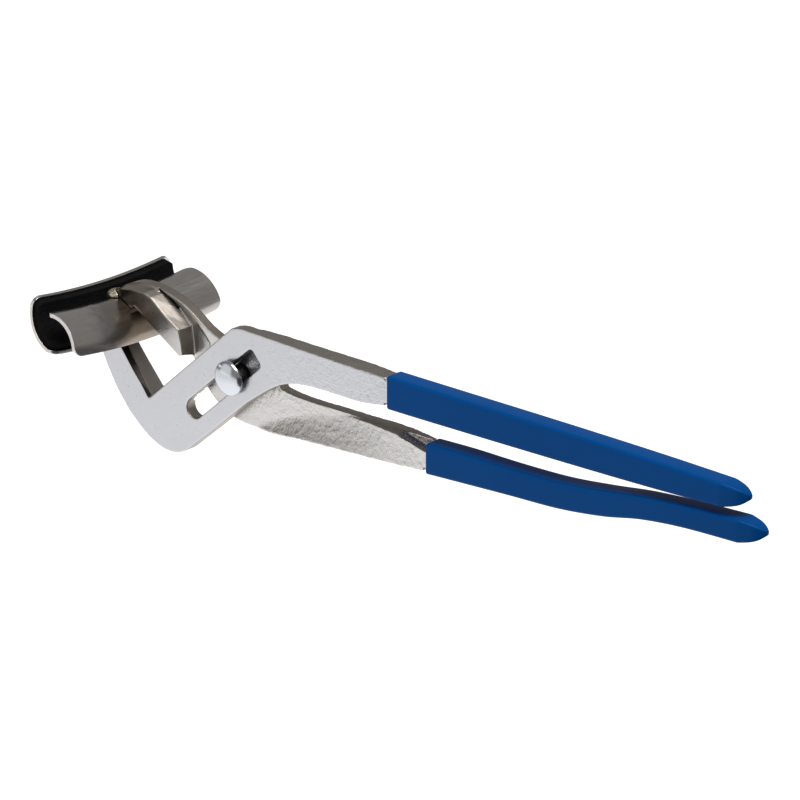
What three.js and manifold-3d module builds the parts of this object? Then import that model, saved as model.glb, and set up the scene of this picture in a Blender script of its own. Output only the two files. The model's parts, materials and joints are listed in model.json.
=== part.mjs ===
// Tyre-seating pliers: slip-joint pliers whose jaws carry two long curved steel
// shells, one bare and one lined with rubber, that grip round a bicycle tyre.
//
// Units are millimetres. X runs along the handles towards the grips, Z is up in the
// plane in which the handles open, and Y is the pivot axis. The halves are drawn
// about the pivot axis with Y = 0 between them, and the whole group is then moved
// along Y until the flat end of the pivot bolt lies on the origin.

import * as THREE from "three";
import { mergeVertices } from "three/addons/utils/BufferGeometryUtils.js";
import Module from "manifold-3d";

const wasm = await Module();
wasm.setup();

// ---------------------------------------------------------------- driving sizes

// Joint
const BOLT_D = 9.3;
const RUNNING_FIT = 0.1; // on the radius, round the bolt
const SLOT_ANGLE = 40.5; // degrees up from the handles
const SLOT_NARROW_END = 32.3; // bolt travel from rest that narrows the jaws
const SLOT_WIDE_END = 14.8; // bolt travel from rest that widens the jaws
const SLOT_CORNER = 2.2; // at the wide end, which is nearly square
const PLATE_UPPER = 17.3; // slot centre line to the plate's upper edge
const PLATE_LOWER = 13.2; // slot centre line to the plate's lower edge
const PLATE_THICK = 6.0; // of the slotted plate
const TONGUE_THICK = 5.5; // of the plate behind it
const PLATE_GAP = 0.3; // between the two plates

// Locking grooves and the tongue that runs in them
const GROOVE_PITCH = 6.5;
const GROOVE_COUNT = 7;
const GROOVE_RADIUS = 12.0; // of the middle of a groove, round its bolt position
const GROOVE_WIDTH = 3.8;
const POCKET_WIDTH = 10; // of the milled pocket that the grooves lie in
const GROOVE_DEPTH = 1.5;
const LAND_DEPTH = 1.4; // the lands stand back by this from the plate's face
const TONGUE_HEIGHT = 1.4;
const TONGUE_WIDTH = 3.0;

// Jaws
const BOSS_RADIUS = 18.6; // round the bolt, on the back layer
const ARM_BACK = 4.7; // the arm is this much deeper than the plate it grows from
const ARM_TIP_HALF = 4.3; // half thickness of the arm at its tip
const ARM_TIP_X = -95;
const ARM_BEND_X = -55; // the arm's front face bends here into the plate's
const ARM_STEP_X = -51; // the arm's back face starts here
const BEAM_ROOT = 1.8; // how far back the beam of the upper jaw reaches
const WEB_DEPTH = 3.0; // deepest scoop between that beam and the jaw's outer rim

// Tyre shells
const FRONT_SHELL_LENGTH = 93; // along the tyre
const REAR_SHELL_LENGTH = 86.5;
const SHELL_SHIFT = -1.2; // of the shells' middle towards the bolt's head
const WHEEL_RADIUS = 350; // that the shells follow lengthwise
const FRONT_SHELL_RADIUS = 16.3;
const FRONT_SHELL_THICK = 1.8;
const REAR_SHELL_RADIUS = 18.2;
const REAR_SHELL_THICK = 1.6;
const LINING_THICK = 3.0;
const LINING_MARGIN = 1.1; // bare steel left round the lining
const SHELL_CORNER = 4.5;

// Welds
const WELD_GAP = 0.3; // between separately modelled welded pieces
const FRONT_BEAD_RADIUS = 1.2;
const REAR_BEAD_RADIUS = 1.6;
const REAR_BEAD_ARC = [200, 256]; // degrees round the shell's section
const NOSE_WELD = [5.6, 5.0, 3.6]; // half sizes of the lump at the upper jaw's nose

// Handles and grips
const UPPER_GRIP_START = 90;
const UPPER_GRIP_LENGTH = 179.3;
const LOWER_GRIP_START = 111.5;
const LOWER_GRIP_LENGTH = 166;
const GRIP_THICK = 11.2; // across the flat sides
const GRIP_CORNER = 2.6;
const HANDLE_BACK = 2.2; // the upper handle is this much deeper than the plate
const NOSE_LENGTH = 10.5; // rounded tip of each grip
const VINYL = 1.2; // wall of the dipped grips
const DIP_GAP = 0.15;
const TANG_LEAD = 7; // steel shaped like the grip starts this far ahead of it

// Fasteners
const BOLT_HEAD_D = 16;
const BOLT_HEAD_H = 4.0;
const HEAD_STANDOFF = 1.6; // of the head from the slotted plate
const THREAD_D = 8;
const WASHER_D = 17;
const WASHER_H = 1.3;
const NUT_FLATS = 13;
const NUT_H = 5.2;
const THREAD_PROUD = 1.4; // bolt end past the nut
const SEAT_GAP = 0.15; // between faces that bear on each other

// ------------------------------------------------------------------ worked out

const FRONT_FACE = -PLATE_THICK; // the slotted plate fills FRONT_FACE..0
const TONGUE_FACE = PLATE_GAP;
const TONGUE_BACK = TONGUE_FACE + TONGUE_THICK;
const BORE_R = BOLT_D / 2 + RUNNING_FIT;
const REACH = 200; // longer than any cut needs
const CLEAR = 1; // by which a cut runs past the face it opens in
const LINING_OUTER = REAR_SHELL_RADIUS - REAR_SHELL_THICK - SEAT_GAP;
const WASHER_Y = TONGUE_BACK + SEAT_GAP;
const NUT_Y = WASHER_Y + WASHER_H + SEAT_GAP;
const BOLT_END_Y = NUT_Y + NUT_H + THREAD_PROUD;
const HANDLE_HALF = GRIP_THICK / 2 - VINYL;
const NOSE_END = -76.8; // X of the end of the upper jaw

// Section centres of the shells half-way along them, and the arc each one covers.
const FRONT_SHELL = {
  x: -72.5,
  z: 4.1,
  radius: FRONT_SHELL_RADIUS,
  from: 0,
  to: 106,
};
const REAR_SHELL = {
  x: -70.2,
  z: 19.1,
  radius: REAR_SHELL_RADIUS,
  from: 160.5,
  to: 263,
};

// -------------------------------------------------------------------- materials

const steel = (color, roughness) =>
  new THREE.MeshStandardMaterial({ color, roughness, metalness: 1 });
const nickel = () => steel(0xc8cad0, 0.32);
const brushed = () => steel(0xb4afa8, 0.38);
const bead = () => steel(0xa59a86, 0.45);
const bright = () => steel(0xd6d8dc, 0.16);
const vinyl = () =>
  new THREE.MeshStandardMaterial({ color: 0x0b4690, roughness: 0.3 });
const rubber = () =>
  new THREE.MeshStandardMaterial({ color: 0x151515, roughness: 0.85 });

// ---------------------------------------------------------------- solid helpers

const degrees = THREE.MathUtils.degToRad;

/** A closed three.js geometry as a manifold solid whose faces look outwards. */
function solid(geometry) {
  const bare = geometry.clone();
  bare.deleteAttribute("normal");
  bare.deleteAttribute("uv");
  const merged = mergeVertices(bare, 1e-4);
  const triangles = new Uint32Array(merged.index.array);
  const build = () =>
    new wasm.Manifold(
      new wasm.Mesh({
        numProp: 3,
        vertProperties: merged.attributes.position.array,
        triVerts: triangles,
      }),
    );
  const made = build();
  if (made.volume() > 0) return made;
  for (let i = 0; i < triangles.length; i += 3) {
    [triangles[i + 1], triangles[i + 2]] = [triangles[i + 2], triangles[i + 1]];
  }
  return build();
}

/** A manifold solid as a named mesh. */
function piece(name, body, material) {
  const data = body.getMesh();
  const geometry = new THREE.BufferGeometry();
  geometry.setAttribute(
    "position",
    new THREE.BufferAttribute(new Float32Array(data.vertProperties), 3),
  );
  geometry.setIndex(new THREE.BufferAttribute(new Uint32Array(data.triVerts), 1));
  const flat = geometry.toNonIndexed();
  flat.computeVertexNormals();
  const mesh = new THREE.Mesh(flat, material);
  mesh.name = name;
  return mesh;
}

/** An outline from runs of points: each run is one smooth curve, runs meet in corners. */
function outline(runs, stepsPerPoint = 3) {
  const points = [];
  for (const run of runs) {
    const vectors = run.map(([a, b]) => new THREE.Vector2(a, b));
    const smooth =
      vectors.length > 2
        ? new THREE.SplineCurve(vectors).getPoints(
            stepsPerPoint * (vectors.length - 1),
          )
        : vectors;
    for (const point of smooth) {
      const last = points[points.length - 1];
      if (!last || last.distanceTo(point) > 0.05) points.push(point);
    }
  }
  if (points[0].distanceTo(points[points.length - 1]) < 0.05) points.pop();
  return new THREE.Shape(points);
}

/** An outline in X and Z, as thick as the span from front to back along Y. */
function slab(shape, front, back) {
  const geometry = new THREE.ExtrudeGeometry(shape, {
    depth: back - front,
    bevelEnabled: false,
    curveSegments: 12,
  });
  geometry.rotateX(Math.PI / 2);
  geometry.translate(0, back, 0);
  return solid(geometry);
}

/** An outline in X and Y, run up through everything along Z. */
function planColumn(shape) {
  const geometry = new THREE.ExtrudeGeometry(shape, {
    depth: REACH,
    bevelEnabled: false,
  });
  geometry.translate(0, 0, -REACH / 2);
  return solid(geometry);
}

/** A closed skin over rings that hold the same number of points. */
function loft(rings, flatten) {
  const count = rings[0].length;
  const positions = rings.flat().flatMap((p) => [p.x, p.y, p.z]);
  const faces = [];
  for (let ring = 0; ring < rings.length - 1; ring++) {
    for (let i = 0; i < count; i++) {
      const a = ring * count + i;
      const b = ring * count + ((i + 1) % count);
      faces.push(a, b, b + count, a, b + count, a + count);
    }
  }
  const contour = rings[0].map(flatten);
  const cap = THREE.ShapeUtils.triangulateShape(contour, []);
  const last = (rings.length - 1) * count;
  for (const triangle of cap) {
    if (THREE.ShapeUtils.isClockWise(contour)) triangle.reverse();
    const [a, b, c] = triangle;
    faces.push(c, b, a, last + a, last + b, last + c);
  }
  const geometry = new THREE.BufferGeometry();
  geometry.setAttribute(
    "position",
    new THREE.Float32BufferAttribute(positions, 3),
  );
  geometry.setIndex(faces);
  return solid(geometry);
}

/** A turned piece on the pivot axis: the profile is [radius, y] from front to back. */
function turned(profile, segments = 32) {
  const geometry = new THREE.LatheGeometry(
    profile.map(([r, y]) => new THREE.Vector2(r, y)),
    segments,
  );
  return solid(geometry);
}

// -------------------------------------------------------------------- slot frame

const slotCos = Math.cos(degrees(SLOT_ANGLE));
const slotSin = Math.sin(degrees(SLOT_ANGLE));

/** A point given along and across the slot, as X and Z. */
function onSlot(along, across) {
  return [
    along * slotCos - across * slotSin,
    along * slotSin + across * slotCos,
  ];
}

/** Points on a circle in X and Z, or on the slot's own axes where turn is given. */
function arc([cx, cz], radius, from, to, steps, turn = 0) {
  const points = [];
  for (let i = 0; i <= steps; i++) {
    const angle = degrees(turn + from + ((to - from) * i) / steps);
    points.push([cx + radius * Math.cos(angle), cz + radius * Math.sin(angle)]);
  }
  return points;
}

/** A point seen from a shell's section centre, at an angle and a distance past its skin. */
function offShell(section, beyond, angle) {
  return arc([section.x, section.z], section.radius + beyond, angle, angle, 1)[0];
}

const polygon = (points) =>
  new THREE.Shape(points.map(([a, b]) => new THREE.Vector2(a, b)));

/** A curved band round one bolt position: a groove, or the tongue. */
function ringSector(along, width, [from, to], front, back) {
  const centre = onSlot(along, 0);
  const outside = GROOVE_RADIUS + width / 2;
  const inside = GROOVE_RADIUS - width / 2;
  const outer = arc(centre, outside, from, to, 8, SLOT_ANGLE);
  const inner = arc(centre, inside, to, from, 8, SLOT_ANGLE);
  return slab(polygon([...outer, ...inner]), front, back);
}

// ----------------------------------------------------------------------- shells

/** A place on a shell's section, carried along the tyre's curve to a length station. */
function onTyre(section, [x, z], along) {
  const turn = along / (WHEEL_RADIUS - section.z);
  const drop = WHEEL_RADIUS - z;
  return new THREE.Vector3(
    x,
    drop * Math.sin(turn) + SHELL_SHIFT,
    WHEEL_RADIUS - drop * Math.cos(turn),
  );
}

/** A curved plate of a section arc, with its four corners rounded. */
function tyrePlate(section, outer, inner, length, trim, corner) {
  const half = length / 2;
  const stations = [];
  for (let i = 0; i < 4; i++) {
    stations.push(corner * (1 - Math.cos((i / 3) * (Math.PI / 2))));
  }
  const lengths = [
    ...stations.map((s) => -half + s),
    ...[-0.5, 0, 0.5].map((s) => s * half),
    ...stations.map((s) => half - s).reverse(),
  ];
  const rings = lengths.map((along) => {
    const inside = Math.min(corner, half - Math.abs(along));
    const pull = corner - Math.sqrt(corner ** 2 - (corner - inside) ** 2);
    const cut = THREE.MathUtils.radToDeg((pull + trim) / section.radius);
    const from = section.from + cut;
    const to = section.to - cut;
    const centre = [section.x, section.z];
    return [
      ...arc(centre, outer, from, to, 12),
      ...arc(centre, inner, to, from, 12),
    ].map((point) => onTyre(section, point, along));
  });
  return loft(rings, (p) => new THREE.Vector2(p.x, p.z));
}

/** The whole round that a shell is part of, for cutting the seat of its jaw. */
function tyreRound(section, radius) {
  const reach = 16;
  const rings = [-1, -0.5, 0, 0.5, 1].map((share) =>
    arc([section.x, section.z], radius, 0, 350, 35).map((point) =>
      onTyre(section, point, share * reach),
    ),
  );
  return loft(rings, (p) => new THREE.Vector2(p.x, p.z));
}

const frontShell = tyrePlate(
  FRONT_SHELL,
  FRONT_SHELL_RADIUS,
  FRONT_SHELL_RADIUS - FRONT_SHELL_THICK,
  FRONT_SHELL_LENGTH,
  0,
  SHELL_CORNER,
);

const rearShell = tyrePlate(
  REAR_SHELL,
  REAR_SHELL_RADIUS,
  REAR_SHELL_RADIUS - REAR_SHELL_THICK,
  REAR_SHELL_LENGTH,
  0,
  SHELL_CORNER,
);

const rubberLining = tyrePlate(
  REAR_SHELL,
  LINING_OUTER,
  LINING_OUTER - LINING_THICK,
  REAR_SHELL_LENGTH - 2 * LINING_MARGIN,
  LINING_MARGIN,
  SHELL_CORNER - LINING_MARGIN,
);

// ------------------------------------------------------------------------ grips

/** Rows of numbers made smooth: each column follows a curve through its values. */
function smoothRows(rows, steps) {
  const made = [];
  for (let i = 0; i < rows.length - 1; i++) {
    for (let s = 0; s < steps; s++) {
      made.push(blend(rows, i, s / steps));
    }
  }
  made.push(rows[rows.length - 1]);
  return made;
}

function blend(rows, i, t) {
  const before = rows[Math.max(i - 1, 0)];
  const start = rows[i];
  const end = rows[i + 1];
  const after = rows[Math.min(i + 2, rows.length - 1)];
  return start.map((value, k) => {
    const pull = (end[k] - before[k]) / 2;
    const push = (after[k] - value) / 2;
    const a = 2 * value - 2 * end[k] + pull + push;
    const b = -3 * value + 3 * end[k] - 2 * pull - push;
    return ((a * t + b) * t + pull) * t + value;
  });
}

/** A section across a handle: a rectangle in Y and Z with rounded corners. */
function handleRing(x, top, bottom, halfThick, corner) {
  const r = Math.min(corner, 0.49 * (top - bottom), 0.98 * halfThick);
  const corners = [
    [halfThick - r, top - r, 0],
    [-halfThick + r, top - r, 90],
    [-halfThick + r, bottom + r, 180],
    [halfThick - r, bottom + r, 270],
  ];
  return corners.flatMap(([y, z, start]) =>
    arc([y, z], r, start, start + 90, 3).map(
      ([py, pz]) => new THREE.Vector3(x, py, pz),
    ),
  );
}

/**
 * A handle body drawn in by inset on every side. The handle gives its rails as rows of
 * [x, top, bottom], the height of its tip, and how far the tip stands past the rails.
 */
function handleBody({ rails, tipZ }, inset, corner, tipLength) {
  const half = GRIP_THICK / 2 - inset;
  const body = smoothRows(rails, 2).map(([x, top, bottom]) =>
    handleRing(x, top - inset, bottom + inset, half, corner),
  );
  const [lastX, lastTop, lastBottom] = rails[rails.length - 1];
  const nose = [0.35, 0.7, 0.92, 1].map((share) => {
    const shrink = 1 - 0.42 * share - 0.4 * share ** 4;
    const top = tipZ + (lastTop - inset - tipZ) * shrink;
    const bottom = tipZ + (lastBottom + inset - tipZ) * shrink;
    const x = lastX + tipLength * share;
    return handleRing(x, top, bottom, half * shrink, corner * shrink);
  });
  return loft([...body, ...nose], (p) => new THREE.Vector2(p.y, p.z));
}

/** Rails from rows of [share of the length, top, bottom]. */
function railsAlong(start, length, rows) {
  const run = length - NOSE_LENGTH;
  return rows.map(([share, top, bottom]) => [start + share * run, top, bottom]);
}

const upperHandle = {
  tipZ: 14.9,
  rails: railsAlong(UPPER_GRIP_START, UPPER_GRIP_LENGTH, [
    [0, 22.1, 7.0],
    [0.18, 21.8, 7.1],
    [0.53, 21.2, 7.6],
    [0.8, 20.4, 8.3],
    [1, 19.4, 9.4],
  ]),
};

const lowerHandle = {
  tipZ: 2.4,
  rails: railsAlong(LOWER_GRIP_START, LOWER_GRIP_LENGTH, [
    [0, -2.6, -16.6],
    [0.13, -2.0, -15.5],
    [0.29, -2.0, -14.2],
    [0.45, -1.2, -13.0],
    [0.59, 1.2, -10.2],
    [0.71, 3.8, -6.3],
    [0.84, 5.4, -4.1],
    [1, 6.6, -3.2],
  ]),
};

/** The same handle, begun a little ahead of its grip. */
function begunEarlier(handle) {
  const [x, top, bottom] = handle.rails[0];
  return { ...handle, rails: [[x - TANG_LEAD, top, bottom], ...handle.rails] };
}

/** A dipped grip: the outer body less the steel inside, open where the handle enters. */
function dippedGrip(handle) {
  const corner = GRIP_CORNER - VINYL / 2;
  const tip = NOSE_LENGTH - VINYL;
  return handleBody(handle, 0, GRIP_CORNER, NOSE_LENGTH).subtract(
    handleBody(begunEarlier(handle), VINYL, corner, tip),
  );
}

/** The steel inside a grip, begun where it grows out of the bare handle. */
function tang(handle) {
  const corner = GRIP_CORNER - VINYL / 2;
  const tip = NOSE_LENGTH - 3 * VINYL;
  return handleBody(begunEarlier(handle), VINYL + DIP_GAP, corner, tip);
}

// ------------------------------------------------------------ half with the slot

const upperBareEnd = UPPER_GRIP_START - 2; // the bare handle's outline ends here

/** Side view of the slot half: arm, slotted plate and the bare upper handle. */
const slotHalfSide = outline([
  [
    onSlot(-54.7, PLATE_UPPER),
    onSlot(14.6, PLATE_UPPER),
  ],
  [
    onSlot(14.6, PLATE_UPPER),
    [5.3, 23.8],
    [14.5, 23.6],
    [38.3, 22.8],
    [57, 22.2],
    [75, 21.6],
    [upperBareEnd, 20.4],
  ],
  [
    [upperBareEnd, 8.0],
    [75, 6.9],
    [55, 7.1],
    [42.6, 6.5],
    [33.5, 4.8],
    [24, 0.6],
    onSlot(0, -PLATE_LOWER),
  ],
  [
    onSlot(0, -PLATE_LOWER),
    onSlot(-28, -PLATE_LOWER),
  ],
  [
    onSlot(-28, -PLATE_LOWER),
    [-23.9, -37.4],
    [-30.6, -42.8],
    [-38, -45.7],
    [-46, -45.4],
    [-54.4, -42.2],
  ],
  [
    [-54.4, -42.2],
    [-67.2, -33.1],
    [-77.2, -21.5],
    [-84.3, -9.4],
    offShell(REAR_SHELL, 7.5, 225),
    offShell(REAR_SHELL, 4.3, 206),
    offShell(REAR_SHELL, 1.6, 192),
  ],
  [
    offShell(REAR_SHELL, 1.6, 192),
    offShell(REAR_SHELL, -3, 200),
    offShell(REAR_SHELL, 0.6, 263),
  ],
  [
    offShell(REAR_SHELL, 0.6, 263),
    [-64.9, -8.7],
    [-58.6, -15.8],
    onSlot(-54.7, PLATE_UPPER),
  ],
]);

/** Plan view of the slot half: how its thickness changes along X. */
const slotHalfPlan = polygon([
  [ARM_TIP_X, -ARM_TIP_HALF],
  [ARM_BEND_X, FRONT_FACE],
  [74, FRONT_FACE],
  [upperBareEnd, -HANDLE_HALF],
  [UPPER_GRIP_START + TANG_LEAD, -HANDLE_HALF],
  [UPPER_GRIP_START + TANG_LEAD, HANDLE_HALF],
  [upperBareEnd, HANDLE_HALF],
  [26, HANDLE_BACK],
  [6, 0],
  [-48.5, 0],
  [ARM_STEP_X, ARM_BACK],
  [ARM_TIP_X, ARM_TIP_HALF],
]);

/** The slot, round at the narrow end and nearly square at the wide end. */
function slotCut() {
  const inset = BORE_R - SLOT_CORNER;
  const far = SLOT_WIDE_END + inset;
  return slab(
    polygon([
      ...arc(onSlot(-SLOT_NARROW_END, 0), BORE_R, 90, 270, 14, SLOT_ANGLE),
      ...arc(onSlot(far, -inset), SLOT_CORNER, 270, 360, 4, SLOT_ANGLE),
      ...arc(onSlot(far, inset), SLOT_CORNER, 0, 90, 4, SLOT_ANGLE),
    ]),
    FRONT_FACE - REACH,
    REACH,
  );
}

/** The milled pocket on the plate's back, with one curved groove per setting. */
function grooveCut() {
  const near = BORE_R - 0.6; // so that the pocket opens into the slot
  const far = BORE_R + POCKET_WIDTH;
  const low = -SLOT_NARROW_END - 8;
  const high = SLOT_WIDE_END + 4;
  const grooveSpan = [80, 156]; // degrees from the slot's line
  const corners = [
    [low, near],
    [high, near],
    [high, far],
    [low, far],
  ];
  let cut = slab(polygon(corners.map(([a, b]) => onSlot(a, b))), -LAND_DEPTH, CLEAR);
  const floor = -LAND_DEPTH - GROOVE_DEPTH;
  for (let i = 0; i < GROOVE_COUNT; i++) {
    const along = GROOVE_PITCH * (1 - i);
    cut = cut.add(ringSector(along, GROOVE_WIDTH, grooveSpan, floor, CLEAR));
  }
  return cut;
}

/** Room on the back of the upper handle for the other half's round boss as it slides. */
function bossRoom() {
  const travel = 11;
  const centre = onSlot(-3, 0);
  return slab(polygon(arc(centre, BOSS_RADIUS + travel, 0, 350, 35)), 0, REACH);
}

/** The draft on the arm's inner wall: a bevel that narrows from the shell to the corner. */
function armDraft() {
  // share of the way down the wall, bevel across the front face, bevel along the depth
  const rows = [
    [-0.2, 2.4, 5.0],
    [0.5, 1.9, 3.2],
    [1.0, 1.5, 1.6],
  ];
  const start = new THREE.Vector2(...offShell(REAR_SHELL, 0.6, 263));
  const end = new THREE.Vector2(...onSlot(-54.7, PLATE_UPPER));
  const along = end.clone().sub(start);
  const across = new THREE.Vector2(-along.y, along.x).normalize();
  const rings = rows.map(([share, wide, deep]) => {
    const wall = start.clone().addScaledVector(along, share);
    const point = (out, depth) =>
      new THREE.Vector3(wall.x + across.x * out, FRONT_FACE + depth, wall.y + across.y * out);
    return [
      point(-1.5 * wide, -0.5 * deep),
      point(0.5 * wide, 1.5 * deep),
      point(4 * wide, -0.5 * deep),
    ];
  });
  return loft(rings, (p) => new THREE.Vector2(p.x, p.y));
}

function slotHalf() {
  const blank = slab(slotHalfSide, FRONT_FACE, GRIP_THICK / 2);
  return blank
    .intersect(planColumn(slotHalfPlan))
    .subtract(bossRoom())
    .subtract(armDraft())
    .add(tang(upperHandle))
    .subtract(slotCut())
    .subtract(grooveCut())
    .subtract(tyreRound(REAR_SHELL, REAR_SHELL_RADIUS + WELD_GAP));
}

// ---------------------------------------------------------- half with the tongue

const lowerBareEnd = LOWER_GRIP_START - 2;

/** Side view of the back layer: jaw web, boss and the thin edge of the lower handle. */
const jawRim = [
  [-13, 12.6],
  [-22, 16.2],
  [-30, 21.3],
  [-38.5, 25.4],
  [-47, 27.9],
  [-56, 29.2],
  [-66, 28.4],
  [-74, 25.2],
];
const jawHeel = offShell(FRONT_SHELL, 2.7, 54); // where the jaw leaves its shell

const tongueSide = outline([
  [[24, -1.6], ...arc([0, 0], BOSS_RADIUS, 20, 100, 4), jawRim[0]],
  jawRim,
  [
    jawRim[jawRim.length - 1],
    offShell(FRONT_SHELL, 2, 109),
    offShell(FRONT_SHELL, -4, 106),
    offShell(FRONT_SHELL, -4, 60),
    jawHeel,
  ],
  [
    jawHeel,
    [-46.7, 9.8],
    [-32.5, 1.2],
    [-26.5, -6.5],
    [-19.5, -14.2],
    [-11, -20.4],
    [-2.8, -22.8],
    [9, -23.4],
    [22, -22.2],
    [37, -19.7],
  ],
  [
    [37, -19.7],
    [60, -17.9],
    [80, -16.8],
    [lowerBareEnd, -15.4],
  ],
  [
    [lowerBareEnd, -3.6],
    [94, -2.6],
    [70, -2.9],
    [40, -3.1],
    [31, -2.7],
    [24, -1.6],
  ],
]);

/** An outline in X and Z set at a depth, which may change along X. */
const ring = (points, depth) =>
  points.map(([x, z]) => new THREE.Vector3(x, depth(x), z));

/** The raised beam of the upper jaw: narrower at its face than at its root. */
function jawBeam() {
  const nose = offShell(FRONT_SHELL, -3, 110);
  const under = offShell(FRONT_SHELL, -3, 62);
  const face = [
    nose,
    offShell(FRONT_SHELL, 1.6, 103),
    [-71, 25.2],
    [-62.9, 27],
    [-54.5, 27.2],
    [-50.6, 25.9],
    [-42.8, 20],
    [-33.4, 14.2],
    [-31.8, 8],
    [-31.2, 2.8],
    [-33.4, 2.1],
    [-46.7, 10],
    jawHeel,
    under,
  ];
  const root = [
    nose,
    offShell(FRONT_SHELL, 2, 103),
    [-72, 25.8],
    [-63.2, 28.4],
    [-53.5, 28.0],
    [-49.2, 26.6],
    [-41.4, 21.4],
    [-32.0, 14.8],
    [-31, 8],
    [-30.4, 1.2],
    [-33.2, 1.5],
    [-46.5, 9.6],
    jawHeel,
    under,
  ];
  return loft(
    [ring(face, () => FRONT_FACE), ring(root, () => BEAM_ROOT)],
    (p) => new THREE.Vector2(p.x, p.z),
  );
}

/** The scoop between the beam and the jaw's outer rim, which runs out at the boss. */
function webScoop() {
  const edge = [
    [-52, 29],
    [-46.2, 26.4],
    [-38, 23.4],
    [-29.8, 18.8],
    [-23.6, 14],
    [-19.4, 9.6],
    [-20, 4],
    [-22.6, -2],
    [-27, -8],
    [-34, 4],
    [-45, 16],
  ];
  const [deepX, shallowX] = [-50, -22];
  const floor = (x) =>
    TONGUE_FACE +
    WEB_DEPTH * THREE.MathUtils.clamp((x - shallowX) / (deepX - shallowX), 0.06, 1);
  return loft(
    [ring(edge, () => -CLEAR), ring(edge, floor)],
    (p) => new THREE.Vector2(p.x, p.z),
  );
}

/** The belly of the lower handle, which swells forward from the thin back layer. */
function handleBelly() {
  // x, height and y where the swell starts, y where it is fullest, bottom z
  const rows = [
    [9, -22.2, TONGUE_FACE, TONGUE_FACE, -23.6],
    [20, -17.0, TONGUE_FACE, -2.0, -23.0],
    [37, -10.5, TONGUE_FACE, -4.2, -20.5],
    [60, -4.6, TONGUE_FACE, -5.3, -18.7],
    [78, -3.3, -1.8, -5.7, -17.5],
    [93, -3.2, -3.9, -5.8, -16.6],
    [lowerBareEnd, -3.2, -3.8, -HANDLE_HALF, -15.9],
  ];
  const inside = TONGUE_FACE + 2;
  const steps = 7;
  const underEdge = 0.6; // height of the upright strip below the fullest line
  const rings = smoothRows(rows, 3).map(([x, start, startY, fullest, low]) => {
    const points = [new THREE.Vector3(x, inside, start)];
    for (let i = 0; i <= steps; i++) {
      const share = i / steps;
      const y = startY + (fullest - startY) * share ** 1.3;
      points.push(new THREE.Vector3(x, y, start + (low + underEdge - start) * share));
    }
    const under = new THREE.Vector3(x, fullest, low);
    return [...points, under, new THREE.Vector3(x, inside, low)];
  });
  return loft(rings, (p) => new THREE.Vector2(p.y, p.z));
}

/** The hollow on top of the lower handle, which deepens up to the mouth of its grip. */
function rimHollow() {
  // x, back y, height of the front lip, height of the floor
  const rows = [
    [LOWER_GRIP_START - 17, 0.2, -3.2, -3.6],
    [LOWER_GRIP_START - 9, 1.6, -4.7, -6.8],
    [LOWER_GRIP_START - 0.4, 2.2, -6.6, -9.2],
  ];
  const front = FRONT_FACE - CLEAR;
  const lipWidth = 2.4;
  const rings = rows.map(([x, back, lip, floor]) => [
    new THREE.Vector3(x, front, REACH),
    new THREE.Vector3(x, front, lip),
    new THREE.Vector3(x, front + lipWidth, lip),
    new THREE.Vector3(x, -1.8, floor),
    new THREE.Vector3(x, back, floor + 1.2),
    new THREE.Vector3(x, back, REACH),
  ]);
  return loft(rings, (p) => new THREE.Vector2(p.y, p.z));
}

/** Plan of the jaw's nose, which narrows towards the weld at the shell's edge. */
const noseStart = -61.5;
const nosePlan = [0, 15, 30, 45, 60, 75, 90].map((angle) => [
  noseStart + (NOSE_END - noseStart) * Math.cos(degrees(angle)),
  -1 + (FRONT_FACE + 1) * Math.sin(degrees(angle)),
]);

const tonguePlan = polygon([
  ...nosePlan,
  [LOWER_GRIP_START, FRONT_FACE],
  [LOWER_GRIP_START, HANDLE_HALF],
  [LOWER_GRIP_START - 14, TONGUE_BACK - 0.4],
  [LOWER_GRIP_START - 40, TONGUE_BACK],
  [-66, TONGUE_BACK],
  [-73, 4.8],
  [NOSE_END, 3.2],
]);

function tongueHalf() {
  const ribFace = TONGUE_FACE - TONGUE_HEIGHT;
  const rib = ringSector(0, TONGUE_WIDTH, [98, 134], ribFace, TONGUE_FACE + CLEAR);
  const bore = slab(polygon(arc([0, 0], BORE_R, 0, 345, 23)), FRONT_FACE, REACH);
  return slab(tongueSide, TONGUE_FACE, TONGUE_BACK)
    .subtract(webScoop())
    .add(jawBeam())
    .add(handleBelly())
    .intersect(planColumn(tonguePlan))
    .add(tang(lowerHandle))
    .subtract(rimHollow())
    .add(rib)
    .subtract(bore)
    .subtract(tyreRound(FRONT_SHELL, FRONT_SHELL_RADIUS + WELD_GAP));
}

// ------------------------------------------------------------------------ welds

/** A weld bead laid on the back of a shell, beside the jaw that holds it. */
function weldBead(section, size, from, to, y) {
  const radius = section.radius + WELD_GAP + size;
  const path = new THREE.CatmullRomCurve3(
    arc([section.x, section.z], radius, from, to, 10).map(
      ([x, z]) => new THREE.Vector3(x, y, z),
    ),
  );
  const round = new THREE.Shape();
  round.absarc(0, 0, size, 0, Math.PI * 2);
  return solid(
    new THREE.ExtrudeGeometry(round, {
      steps: 20,
      curveSegments: 4,
      extrudePath: path,
    }),
  );
}

/** The lump of weld that ties the jaw's nose to the shell's upper edge. */
function noseWeld() {
  const [, z] = offShell(FRONT_SHELL, 0.6, 108);
  const lump = new THREE.SphereGeometry(1, 18, 12);
  lump.scale(...NOSE_WELD);
  lump.translate(NOSE_END + 0.2, -1.6, z);
  const jaw = [
    [NOSE_END - WELD_GAP, REACH],
    ...nosePlan.map(([x, y]) => [x - WELD_GAP, y - WELD_GAP]),
    [REACH, FRONT_FACE - WELD_GAP],
    [REACH, REACH],
  ];
  return solid(lump)
    .subtract(tyreRound(FRONT_SHELL, FRONT_SHELL_RADIUS + WELD_GAP))
    .subtract(planColumn(polygon(jaw)));
}

// -------------------------------------------------------------------- fasteners

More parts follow.
